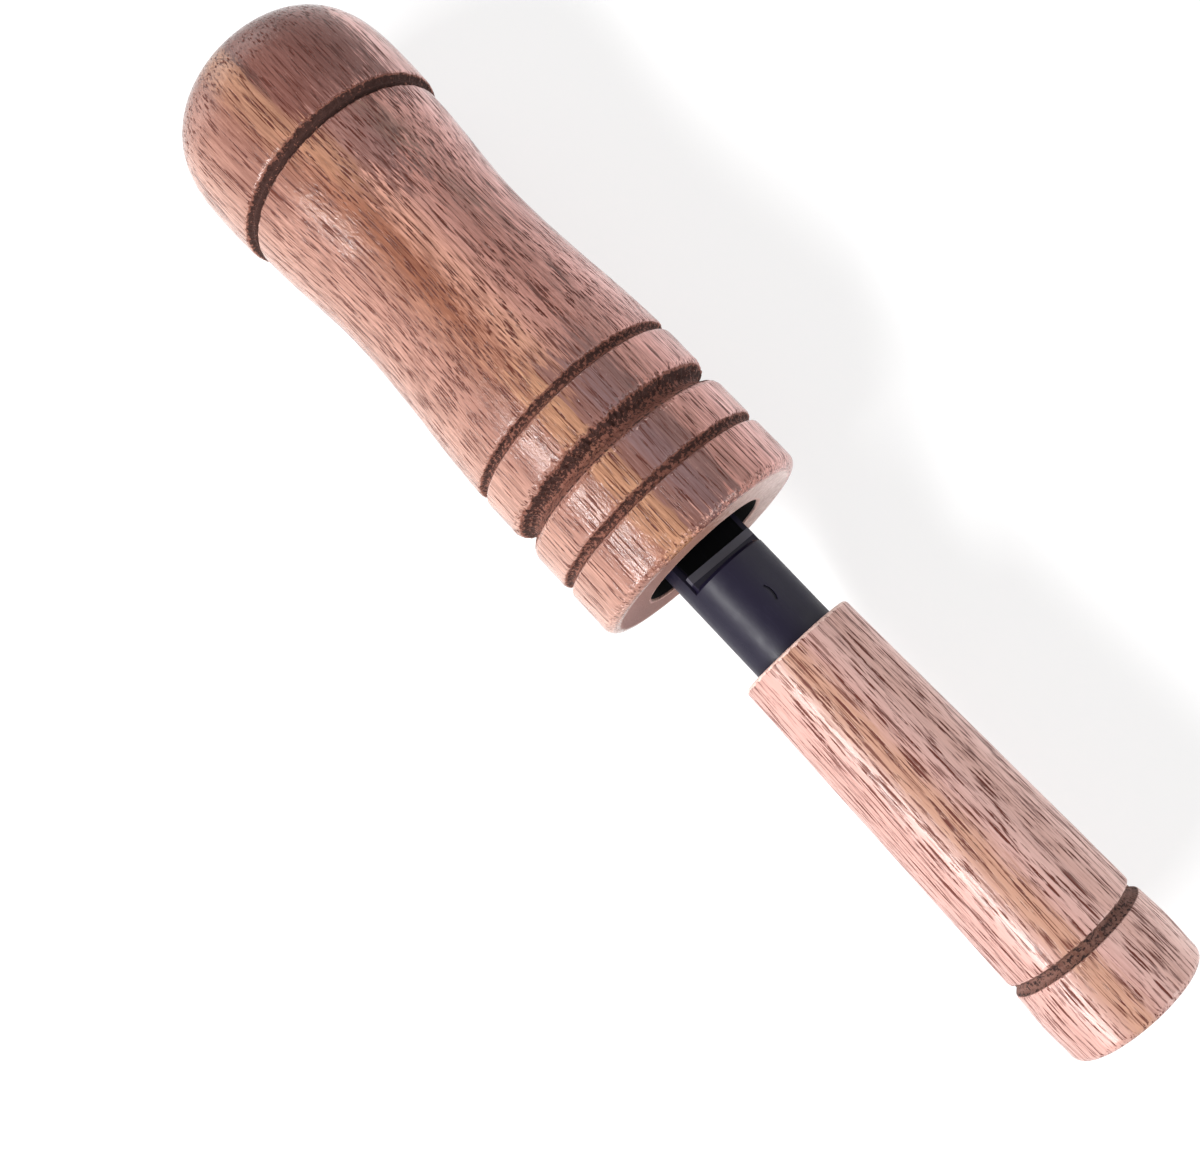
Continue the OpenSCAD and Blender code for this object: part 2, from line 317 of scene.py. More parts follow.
@dataclass(frozen=True)
class Walnut:
    """Black walnut, turned and sprayed with satin lacquer.

    The open pores are never filled, so they stay as dark dashes that break up the gloss. Heartwood
    and lighter wood run through it in soft patches, and the grooves were burnt in by friction, so
    that they are nearly black, matt and torn. Patterns say how fast they change, in 1/mm, along
    and across the grain.

    Fields:
        name: The material's name.
        across_colours: Colours across the piece, each with its share of the way from -y to +y.
        patches: Patches laid over those colours.
        dashes: Open pores, by their sizes.
        pore: Colour of the pores, the ring lines and the dark streaks.
        burnt: Colour of browned wood, which also paints the shade line inside the grooves' clean shoulders.
        charred: Colour of charred crumbs, which also darken that painted shade line.
        edge_wear_and_highlight: Colour of edges that are pale partly from wear and partly from a painted
            highlight where they catch the light.
        half_width: Distance from the axis of the first and last colours, in mm.
        axis_height: Height of the axis above the floor, in mm.
        streak_share: How dark the streaks are, from 0 to 1.
        gloss_roughness: Roughness of the lacquer.
        grain_depth: Height of the grain raised under the lacquer, in mm.
        bored: Colour in the bores: painted shade, near black for the shade inside them.
        end_colours_with_reflection: Colours of the end grain with a painted reflection and painted shade:
            mauve low down in shade, brown where the face mirrors the dark insert, near white at the top
            where it mirrors the floor.
        burnt_roughness: Roughness where the wood is burnt, bored or sawn across.
        pore_roughness: Roughness in the pores.
        pore_depth: Depth of the pores, in mm.
        crumb_pattern: Pattern of the crumbs in a groove, in 1/mm.
        crumb_depth: Height of those crumbs, in mm.
        char_size: Size of the patches of char and of wear, in mm.
        end_pattern: Pattern of the end grain, in 1/mm.
        end_wander: How far that pattern moves the end grain's colours, in mm.
        wave: How far the grain wanders, in mm.
        wave_pattern: Pattern of that wander.
        broad_streaks: Pattern of the broad streaks.
        fine_streaks: Pattern of the fine streaks.
        fine_streak_share: Share of the fine streaks.
        fray: How far the streaks fray the edges of the colours, in mm.
        ring_pattern: Pattern whose contours are the ring lines.
        ring_lines: Number of contours.
        ring_share: How dark the ring lines are, from 0 to 1.
        ring_breaks: Pattern that breaks them up.
        raised_grain: Pattern of the raised grain.
        ior: Refractive index of the lacquer.
        specular: Strength of its gloss.
    """

    name: str
    across_colours: Stops
    patches: tuple[Patch, ...]
    dashes: tuple[Dashes, ...]
    pore: str
    burnt: str
    charred: str
    edge_wear_and_highlight: str
    half_width: float
    axis_height: float
    streak_share: float
    gloss_roughness: float
    grain_depth: float
    # Painted shade: the drilled bores are coloured near black for the shade inside them.
    bored: str = "#060404"
    # Painted reflection and shade on the sawn end face: mauve low down, brown in the middle, near white at
    # the top.
    end_colours_with_reflection: Stops = ((0.0, "#8f6d6a"), (0.56, "#93695a"), (1.0, "#fff0ec"))
    burnt_roughness: float = 0.82
    pore_roughness: float = 0.7
    pore_depth: float = 0.05
    crumb_pattern: float = 2.4
    crumb_depth: float = 0.45
    char_size: float = 0.5
    end_pattern: float = 1.4
    end_wander: float = 3.0
    wave: float = 1.6
    wave_pattern: Pair = (0.018, 0.05)
    broad_streaks: Pair = (0.06, 0.75)
    fine_streaks: Pair = (0.22, 3.2)
    fine_streak_share: float = 0.7
    fray: float = 5.0
    ring_pattern: Pair = (0.014, 0.6)
    ring_lines: float = 6.0
    ring_share: float = 0.9
    ring_breaks: Pair = (0.2, 2.6)
    raised_grain: Pair = (1.3, 2.8)
    ior: float = 1.44
    specular: float = 0.38

    def build(self) -> bpy.types.Material:
        """Builds the walnut's material, which reads object coordinates and the marks of the mesh."""
        material = bpy.data.materials.new(self.name)
        graph = Graph.of(material)
        place = graph.place(self.axis_height)
        grain = self._grain(graph, place)
        broad = graph.drawn_noise(grain, self.broad_streaks, detail=3.0)
        fine = graph.drawn_noise(grain, self.fine_streaks, detail=3.0)
        streaks = graph.blend(self.fine_streak_share, broad, fine)
        pores, stain = self._pores(graph, grain, place)
        stained = graph.lay(stain, self._wood_colour(graph, place, streaks), self.pore)
        matt, colour = self._worked(graph, place, stained)
        lacquer = graph.spread(
            streaks, 0.3, 0.7, bottom=self.gloss_roughness - 0.05, top=self.gloss_roughness + 0.06
        )
        roughness = graph.blend(matt, graph.blend(pores, lacquer, self.pore_roughness), self.burnt_roughness)
        normal = self._relief(graph, pores, streaks, grain, matt)
        graph.finish(colour, roughness, normal, self.ior, self.specular)
        return material

    def _grain(self, graph: Graph, place: Socket) -> Socket:
        """Returns the place in mm with the slow waves that real grain has."""
        along, across = self.wave_pattern
        slow = graph.moved(place, (along, across, across))
        wave = graph.add("ShaderNodeTexNoise", {"Vector": slow, "Scale": 1.0, "Detail": 1.0}, "Color")
        centred = graph.add("ShaderNodeVectorMath", {0: wave, 1: (0.5, 0.5, 0.5)}, operation="SUBTRACT")
        reach = (0, 2 * self.wave, 2 * self.wave)
        wander = graph.add("ShaderNodeVectorMath", {0: centred, 1: reach}, operation="MULTIPLY")
        return graph.add("ShaderNodeVectorMath", {0: place, 1: wander}, operation="ADD")

    def _pores(self, graph: Graph, grain: Socket, place: Socket) -> tuple[Socket, Socket]:
        """Finds the open pores and the stained wood round them.

        Args:
            graph: The material's nodes.
            grain: Place in mm with the grain's waves.
            place: Place in mm.

        Returns:
            How open the pores are and how dark the wood is there, each from 0 to 1.
        """
        along = graph.axis(place, 0)
        all_open, stain = 0.0, self._ring_lines(graph, grain)
        for index, dashes in enumerate(self.dashes):
            scale = (1 / dashes.length, 1 / dashes.spacing, 1 / dashes.spacing)
            drawn_out = graph.moved(grain, scale, tuple(index * shift for shift in dashes.shift))
            cells = add_node(graph.tree, "ShaderNodeTexVoronoi", {"Vector": drawn_out, "Scale": 1.0}).outputs
            chance = graph.add("ShaderNodeSeparateColor", {0: cells["Color"]})
            near = graph.rise(cells["Distance"], dashes.width_share, dashes.width_share * dashes.core)
            likely = graph.rise(chance, -0.2, 0.6)
            middle, reach = (dashes.first + dashes.last) / 2, (dashes.last - dashes.first) / 2
            here = graph.within(along, middle, reach, dashes.fade)
            spindle = graph.times(near, likely, here)
            pattern = (dashes.strokes[0] / dashes.length, dashes.strokes[1] / dashes.spacing)
            strokes = graph.drawn_noise(grain, pattern, detail=2.0, shift=4.0 + index)
            cut_open = graph.times(spindle, graph.rise(strokes, 0.38, 0.5))
            halo = graph.times(spindle, dashes.halo)
            dark = graph.calc("ADD", graph.times(cut_open, dashes.strength), halo)
            all_open = graph.calc("MAXIMUM", all_open, cut_open)
            stain = graph.calc("MAXIMUM", stain, dark)
        return all_open, graph.calc("MINIMUM", stain, 1.0)

    def _ring_lines(self, graph: Graph, grain: Socket) -> Socket:
        """Returns the thin dark lines of the year rings, cut lengthwise, as they come and go."""
        rings = graph.drawn_noise(grain, self.ring_pattern, detail=3.0, roughness=0.5, shift=9.0)
        from_line = graph.calc("PINGPONG", graph.times(rings, self.ring_lines), 0.5)
        lines = graph.rise(from_line, 0.15, 0.04, top=self.ring_share)
        breaks = graph.drawn_noise(grain, self.ring_breaks, detail=3.0, shift=12.0)
        return graph.times(lines, graph.rise(breaks, 0.4, 0.56))

    def _wood_colour(self, graph: Graph, place: Socket, streaks: Socket) -> Socket:
        """Returns the wood's colour without its pores.

        Args:
            graph: The material's nodes.
            place: Place in mm.
            streaks: Streaks along the grain.

        Returns:
            The colour.
        """
        centred = graph.calc("SUBTRACT", streaks, 0.5)
        frayed = graph.calc("ADD", graph.axis(place, 1), graph.times(centred, self.fray))
        ends = graph.calc("ADD", graph.axis(place, 0), graph.times(centred, 8 * self.fray))
        wood = graph.ramp(graph.spread(frayed, -self.half_width, self.half_width), self.across_colours)
        for patch in self.patches:
            lengthwise = graph.within(ends, patch.along, patch.reach, patch.end_fade)
            sideways = graph.within(frayed, patch.across, patch.spread, patch.side_fade)
            wood = graph.lay(graph.times(lengthwise, sideways, patch.share), wood, patch.colour)
        return graph.lay(graph.spread(streaks, 0.62, 0.4, top=self.streak_share), wood, self.pore)

    def _worked(self, graph: Graph, place: Socket, wood: Socket) -> tuple[Socket, Socket]:
        """Lays over the wood the end grain with its painted reflection, the edges with their wear and
        painted highlights, the burnt grooves with their painted shade lines, and the painted shade in the
        bores.

        Args:
            graph: The material's nodes.
            place: Place in mm.
            wood: The colour of the wood.

        Returns:
            How matt the surface is, from 0 to 1, and the finished colour.
        """
        crumbs = graph.cloud(place, 1 / self.char_size, detail=3.0, roughness=0.7)
        crumb_share = graph.spread(crumbs, 0.32, 0.68, bottom=-0.5, top=0.5)
        marks = (graph.add("ShaderNodeAttribute", output="Fac", attribute_name=mark.value) for mark in Mark)
        # The burn mark also carries painted shade lines, the wear mark painted highlights, the bore mark
        # painted shade and the end mark a painted reflection.
        burn, wear, bore, end = marks
        browned = graph.rise(burn, 0.04, 0.3, top=0.85)
        charred = graph.rise(graph.calc("ADD", burn, crumb_share), 0.5, 0.68, top=0.95)
        wear_and_sheen = graph.rise(graph.calc("ADD", wear, crumb_share), 0.4, 0.9, top=0.75)
        # End faces take the end grain's colours, which hold a painted reflection and painted shade.
        colour = graph.lay(graph.times(end, 0.85), wood, self._end_grain_with_reflection(graph, place))
        layers = ((wear_and_sheen, self.edge_wear_and_highlight), (browned, self.burnt), (charred, self.charred), (bore, self.bored))
        for amount, layer in layers:
            colour = graph.lay(amount, colour, layer)
        return graph.calc("MAXIMUM", graph.calc("MAXIMUM", browned, bore), end), colour

    def _end_grain_with_reflection(self, graph: Graph, place: Socket) -> Socket:
        """Returns the colour of the sawn end grain, with its painted reflection and shade."""
        cells = graph.cloud(place, self.end_pattern, detail=4.0, roughness=0.7)
        wander = graph.spread(cells, 0.3, 0.7, bottom=-self.end_wander, top=self.end_wander)
        across = graph.calc("ADD", graph.axis(place, 1), wander)
        return graph.ramp(graph.spread(across, -self.half_width, self.half_width), self.end_colours_with_reflection)

    def _relief(self, graph: Graph, pores: Socket, streaks: Socket, grain: Socket, matt: Socket) -> Socket:
        """Returns the normal: open pores, raised grain under the lacquer, and crumbs in the grooves.

        Args:
            graph: The material's nodes.
            pores: Where the pores are.
            streaks: Streaks along the grain.
            grain: Place in mm with the grain's waves.
            matt: Where the wood is burnt, bored or sawn across.

        Returns:
            The normal.
        """
        raised = graph.drawn_noise(grain, self.raised_grain, detail=3.0, shift=2.0)
        normal = graph.bump(graph.calc("ADD", streaks, raised), self.grain_depth, strength=1.0)
        normal = graph.bump(pores, self.pore_depth, strength=0.8, under=normal, inwards=True)
        crumbs = graph.cloud(grain, self.crumb_pattern, detail=5.0, roughness=0.75)
        return graph.bump(graph.times(crumbs, matt), self.crumb_depth, strength=0.9, under=normal)


@dataclass(frozen=True)
class MouldedAbs:
    """Black ABS from a spark-eroded mould.

    It shows a fine satin texture, with a broad soft highlight and a faint violet cast. Up to an end
    place along the row, in mm, it is painted paler: a painted highlight on the wedge's flat toe.
    """

    name: str
    colour: str = "#130f20"
    scuffed: str = "#262436"
    # Painted highlight: the paler colour of the wedge's flat toe, and the row place where it ends.
    toe_highlight: str = "#4a4850"
    toe_highlight_end: float | None = None
    roughness: float = 0.4
    texture_size: float = 0.11
    texture_depth: float = 0.02
    ior: float = 1.46
    specular: float = 0.2

    def build(self, axis_height: float) -> bpy.types.Material:
        """Builds the plastic's material.

        Args:
            axis_height: Height of the call's axis above the floor, in mm.

        Returns:
            The material.
        """
        material = bpy.data.materials.new(self.name)
        graph = Graph.of(material)
        place = graph.place(axis_height)
        cloud = graph.cloud(place, 0.5, detail=3.0, roughness=0.55)
        scratches = graph.drawn_noise(place, (0.5, 5.0), detail=6.0, roughness=0.7)
        scuffs = graph.times(graph.spread(scratches, 0.55, 0.8), cloud)
        colour = graph.lay(scuffs, self.colour, self.scuffed)
        # Painted highlight: the wedge's flat toe is coloured paler where it catches the light.
        if self.toe_highlight_end is not None:
            on_toe = graph.calc("LESS_THAN", graph.axis(place, 0), self.toe_highlight_end)
            colour = graph.lay(on_toe, colour, self.toe_highlight)
        roughness = graph.spread(cloud, 0.3, 0.7, bottom=self.roughness - 0.05, top=self.roughness + 0.07)
        texture = graph.cloud(place, 1 / self.texture_size, detail=2.0)
        normal = graph.bump(texture, self.texture_depth, strength=0.6)
        graph.finish(colour, roughness, normal, self.ior, self.specular)
        return material


@dataclass(frozen=True)
class ReedFilm:
    """Polyester film, coloured near black as painted shade for the dark socket mouth where the reed lies.

    It is smoother and glossier than the moulded board, with faint rolling marks along its length.
    """

    name: str
    # Painted shade: near black, for the shade in the socket mouth.
    colour: str = "#030304"
    dusty: str = "#0b0b0e"
    roughness: float = 0.5
    marks_depth: float = 0.006
    ior: float = 1.16
    specular: float = 0.2

    def build(self) -> bpy.types.Material:
        """Builds the film's material."""
        material = bpy.data.materials.new(self.name)
        graph = Graph.of(material)
        marks = graph.drawn_noise(graph.place(), (0.15, 2.5), detail=4.0)
        dust = graph.spread(marks, 0.5, 0.85, top=0.7)
        roughness = graph.spread(marks, 0.3, 0.7, bottom=self.roughness - 0.04, top=self.roughness + 0.1)
        normal = graph.bump(marks, self.marks_depth, strength=0.5)
        graph.finish(graph.lay(dust, self.colour, self.dusty), roughness, normal, self.ior, self.specular)
        return material


# Shapes that the pieces share


def eased(start: float, end: float, share: float) -> float:
    """Returns a value on the smooth passage from start to end."""
    return start + (end - start) * (1 - math.cos(math.pi * share)) / 2


def smooth(value: float, low: float, high: float) -> float:
    """Returns 0 at low and 1 at high, with a smooth rise between them."""
    share = min(max((value - low) / (high - low), 0.0), 1.0)
    return share * share * (3 - 2 * share)


def band(value: float, start: float, full: float, fade: float, end: float) -> float:
    """Returns 1 from full to fade and 0 outside start and end, with smooth passages."""
    return smooth(value, start, full) * smooth(value, end, fade)


def steps(start: float, end: float, pitch: float) -> Iterator[float]:
    """Yields places from start, at about the pitch given, and stops short of end."""
    count = max(1, round(abs(end - start) / pitch))
    for i in range(count):
        yield start + (end - start) * i / count


def quarter(count: int) -> list[float]:
    """Returns angles from 0 to a right angle, in equal steps."""
    return [math.pi / 2 * i / count for i in range(count + 1)]


def round_edges(mesh_data: bmesh.types.BMesh, sharper_than: float, width: float, segments: int) -> None:
    """Rounds the edges at which a mesh turns sharply.

    Args:
        mesh_data: The mesh.
        sharper_than: Turn between two faces above which their edge is rounded, in degrees.
        width: Width of the rounding, in the mesh's units.
        segments: Its steps.
    """
    least = math.radians(sharper_than)
    bmesh.ops.bevel(
        mesh_data,
        geom=[edge for edge in mesh_data.edges if edge.is_manifold and edge.calc_face_angle() > least],
        offset=width,
        offset_type="OFFSET",
        affect="EDGES",
        segments=segments,
        profile=0.5,
        material=-1,
        clamp_overlap=True,
    )


def finish_piece(
    mesh_data: bmesh.types.BMesh, name: str, node: str, material: bpy.types.Material
) -> bpy.types.Object:
    """Turns a finished bmesh into a smooth piece that stands for a CAD node.

    Args:
        mesh_data: The piece in metres, in the row's frame.
        name: The piece's name.
        node: The CAD node that it stands for.
        material: Its finish.

    Returns:
        The piece.
    """
    for face in mesh_data.faces:
        face.smooth = True
    mesh = bpy.data.meshes.new(name)
    mesh_data.to_mesh(mesh)
    mesh_data.free()
    mesh.materials.append(material)
    piece = bpy.data.objects.new(name, mesh)
    bpy.context.scene.collection.objects.link(piece)
    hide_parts(node)
    return piece


def even_shading(piece: bpy.types.Object) -> None:
    """Keeps the flat faces of a piece flat up to their rounded edges."""
    weighted = piece.modifiers.new("even_shading", "WEIGHTED_NORMAL")
    weighted.keep_sharp = True


@dataclass(frozen=True)
class Groove:
    """A groove that the lathe tool cut and burnt into the wood, with a painted shade line inside its clean
    shoulder and a painted highlight along that shoulder.

    A place across it is given as side gives it: 1 is the shoulder of the torn wall, -1 the other.

    Fields:
        at: Place of the groove's middle, in mm.
        width: Width between its shoulders, in mm.
        depth: Depth, in mm.
        floor_share: Share of the width that is floor.
        torn: How far the rough edge wanders, in mm.
        tooth: Width of the torn fibres round the piece, in mm.
        torn_side: -1 or 1, the side on which the wall is rough and dark.
        char_start: Where the char begins across the groove.
        char_fade: Over what share of the groove it comes up.
        brown: How burnt the clean side is, from 0 to 1.
        char: How much more the torn side is burnt than the clean one, from 0 to 1.
        edge_shade_line: How dark the painted shade line just inside the clean shoulder is, from 0 to 1; it
            is laid in as burn.
        edge_shade_band: Where that painted shade line starts, is full, fades and ends, across the groove.
        lip_wear_and_highlight: How pale the clean shoulder's edge is, from 0 to 1: partly wear, partly a
            painted highlight where it catches the light.
        lip_highlight_band: Where that pale band starts, is full, fades and ends, across the groove.
        clean_torn: How torn the clean side is, as a share of the torn side.
        crumb_size: Size of the crumbs on the walls, in mm.
        crumb_share: Their height as a share of torn.
        clean_crumbs: Their height on the clean side, as a share of that on the torn side.
        shoulder_share: Share of the depth that the rounded shoulders take.
    """

    at: float
    width: float
    depth: float
    floor_share: float
    torn: float
    tooth: float = 0.5
    torn_side: int = 1
    char_start: float = -1.0
    char_fade: float = 1.2
    brown: float = 0.42
    char: float = 0.32
    edge_shade_line: float = 0.65
    edge_shade_band: tuple[float, ...] = (-1.0, -0.88, -0.8, -0.68)
    lip_wear_and_highlight: float = 0.25
    lip_highlight_band: tuple[float, ...] = (-1.5, -1.25, -1.1, -0.95)
    clean_torn: float = 0.25
    crumb_size: float = 0.42
    crumb_share: float = 0.35
    clean_crumbs: float = 0.35
    shoulder_share: float = 0.12

    def reach(self) -> float:
        """Returns the distance from the middle at which the skin is whole again."""
        return self.width / 2 + self.width * 0.25 + self.torn

    def side(self, place: float) -> float:
        """Returns a place across the groove: 1 is the shoulder of the torn wall, -1 the other."""
        return (place - self.at) * self.torn_side / (self.width / 2)

    def cut(self, across: float) -> float:
        """Returns the depth at a place across the groove, as a share of the full depth."""
        distance = abs(across)
        wall = 1 - smooth(distance, self.floor_share, 1.0)
        shoulder = 1 - smooth(distance, 0.85, 1.3)
        return (1 - self.shoulder_share) * wall + self.shoulder_share * shoulder

    def work(self, place: float, arm: Vector) -> tuple[float, float, float]:
        """Returns what the tool leaves of one place on the skin.

        Args:
            place: The place along the axis, in mm.
            arm: The way from the axis to the skin there, in mm.

        Returns:
            How far the skin moves outwards, in mm, how burnt it is, with the painted shade line, and how
            much wear and painted highlight it has, each from 0 to 1.
        """
        across = self.side(place)
        roughness = smooth(across, self.char_start, self.char_start + self.char_fade)
        fibres = Vector((place * 0.55, arm.y, arm.z)) / self.tooth
        jag = noise.noise(fibres) + 0.6 * noise.noise(fibres * 2.1)
        wander = self.torn * jag * (self.clean_torn + (1 - self.clean_torn) * roughness) / (self.width / 2)
        depth = self.cut(across + wander)
        crumbs = noise.fractal(Vector((place, arm.y, arm.z)) / self.crumb_size, 0.8, 2.0, 3)
        lumps = self.torn * self.crumb_share * crumbs * depth
        lumps *= self.clean_crumbs + (1 - self.clean_crumbs) * roughness
        burnt = min(smooth(depth, 0.08, 0.45) * (self.brown + self.char * roughness), 1.0)
        # Painted shade: a dark line just inside the clean shoulder, where the wall turns from the light.
        # Painted highlight, with some wear: a pale band along that shoulder's edge.
        painted_edge_shade = self.edge_shade_line * band(across, *self.edge_shade_band)
        wear_and_sheen = self.lip_wear_and_highlight * band(across, *self.lip_highlight_band)
        return lumps - self.depth * depth, max(burnt, painted_edge_shade), wear_and_sheen


@dataclass
class Point:
    """A point of a turned outline: its place along the axis and its radius, in mm, and its marks."""

    place: float
    radius: float
    bore: float = 0.0
    wear: float = 0.0
    end: float = 0.0
    skin: float = 1.0


@dataclass
class TurnedWood:
    """A piece of walnut turned on a lathe, spun from one closed outline.

    Fields:
        node: The CAD node that the piece stands for.
        name: The piece's name.
        finish: The walnut that it is made of.
        origin: Row place of the outline's origin, in mm.
        heading: 1 or -1, the row direction in which places grow.
        axis_height: Height of the axis above the floor, in mm.
        length: Length of the piece, in mm.
        lip_radius: Rounding of the bore's lip at the far end, in mm.
        arc_steps: Steps in a quarter turn of a rounded edge.
        turns: Steps round the axis.
        doublings: How often the first spun part is copied and turned, to fill the round.
        plain_pitch: Spacing of the outline's points where the skin is plain, in mm.
        groove_pitch: Spacing of the points in a groove, in mm.
        face_pitch: Spacing of the points on an end face, in mm.
        ripple: Height of the faint unevenness that sanding leaves, in mm.
        ripple_size: Length of that unevenness, in mm.
    """

    node: str
    name: str
    finish: Walnut
    origin: float
    heading: int
    axis_height: float
    length: float = 96.1
    lip_radius: float = 1.0
    arc_steps: int = 12
    turns: int = 384
    doublings: int = 3
    plain_pitch: float = 1.1
    groove_pitch: float = 0.15
    face_pitch: float = 0.5
    ripple: float = 0.02
    ripple_size: float = 1 / 0.35

    def grooves(self) -> tuple[Groove, ...]:
        """Returns the grooves in the skin."""
        raise NotImplementedError

    def outline(self) -> list[Point]:
        """Returns the closed outline, wound from the outer skin to the bores and back."""
        raise NotImplementedError

    def skin_radius(self, place: float) -> float:
        """Returns the radius of the skin without its grooves."""
        raise NotImplementedError

    def skin(self, start: float, end: float) -> list[Point]:
        """Returns the skin's points, close together in the grooves and wider between them.

        Args:
            start: First place, in mm.
            end: Last place, in mm, which isn't reached.

        Returns:
            The points.
        """
        places, at = [], start
        for groove in sorted(self.grooves(), key=lambda groove: groove.at):
            low, high = groove.at - groove.reach(), groove.at + groove.reach()
            places += [*steps(at, low, self.plain_pitch), *steps(low, high, self.groove_pitch)]
            at = high
        places += steps(at, end, self.plain_pitch)
        return [Point(place, self.skin_radius(place)) for place in places]

    def lip(self, rim: float) -> list[Point]:
        """Returns the rounded lip at the far end of the bore, from its rim radius inwards."""
        # The bore mark rises round the lip, so the bores' painted shade comes up over it.
        return [
            Point(
                self.length - self.lip_radius * (1 - math.cos(turn)),
                rim - self.lip_radius * math.sin(turn),
                bore=turn / math.pi,
                skin=0,
            )
            for turn in quarter(self.arc_steps)
        ]

    def build(self) -> bpy.types.Object:
        """Spins the outline, tears its grooves and dresses it.

        Returns:
            The piece, which stands for its node.
        """
        mesh_data = bmesh.new()
        layers = {mark: mesh_data.verts.layers.float.new(mark.value) for mark in Mark}
        skin_layer = mesh_data.verts.layers.float.new("skin")
        axis = (0, 0, self.axis_height)
        ring = []
        for point in self.outline():
            row_place = self.origin + self.heading * point.place
            vert = mesh_data.verts.new((row_place, 0, self.axis_height + point.radius))
            vert[layers[Mark.BORE_SHADE]] = point.bore
            vert[layers[Mark.WEAR_AND_HIGHLIGHT]] = point.wear
            vert[layers[Mark.END]] = point.end
            vert[skin_layer] = point.skin
            ring.append(vert)
        edges = [mesh_data.edges.new((a, b)) for a, b in zip(ring, ring[1:] + ring[:1])]
        sectors = 2**self.doublings
        bmesh.ops.spin(
            mesh_data,
            geom=ring + edges,
            cent=axis,
            axis=(1, 0, 0),
            angle=math.tau / sectors,
            steps=self.turns // sectors,
        )
        for doubling in range(self.doublings, 0, -1):
            whole = mesh_data.verts[:] + mesh_data.edges[:] + mesh_data.faces[:]
            copied = bmesh.ops.duplicate(mesh_data, geom=whole)["geom"]
            bmesh.ops.rotate(
                mesh_data,
                verts=[item for item in copied if isinstance(item, bmesh.types.BMVert)],
                cent=axis,
                matrix=Matrix.Rotation(math.tau / 2**doubling, 3, "X"),
            )
        bmesh.ops.remove_doubles(mesh_data, verts=mesh_data.verts, dist=MM)
        for vert in mesh_data.verts:
            if vert[skin_layer] > 0:
                self._tear(vert, layers, vert[skin_layer])
        mesh_data.verts.layers.float.remove(skin_layer)
        bmesh.ops.recalc_face_normals(mesh_data, faces=mesh_data.faces)
        bmesh.ops.scale(mesh_data, vec=(MM, MM, MM), verts=mesh_data.verts)
        return finish_piece(mesh_data, self.name, self.node, self.finish.build())

    def _tear(self, vert: bmesh.types.BMVert, layers: dict, skin: float) -> None:
        """Moves one point of the skin to where the tool, the torn fibres and the sanding leave it.

        Args:
            vert: The point, in mm.
            layers: The layers of the marks.
            skin: How far the sanding reaches it, from 0 to 1.
        """
        place = (vert.co.x - self.origin) * self.heading
        arm = Vector((0, vert.co.y, vert.co.z - self.axis_height))
        radius = arm.length
        new_radius = radius + self.ripple * skin * noise.fractal(vert.co / self.ripple_size, 1.0, 2.0, 3)
        for groove in self.grooves():
            if abs(place - groove.at) <= groove.reach():
                lift, burnt, wear_and_sheen = groove.work(place, arm)
                new_radius += lift
                # The burn mark takes the painted shade line too, and the wear mark the painted highlight.
                vert[layers[Mark.BURN]] = max(vert[layers[Mark.BURN]], burnt)
                vert[layers[Mark.WEAR_AND_HIGHLIGHT]] = max(vert[layers[Mark.WEAR_AND_HIGHLIGHT]], wear_and_sheen)
        moved = arm * (new_radius / radius)
        vert.co = Vector((vert.co.x, moved.y, moved.z + self.axis_height))


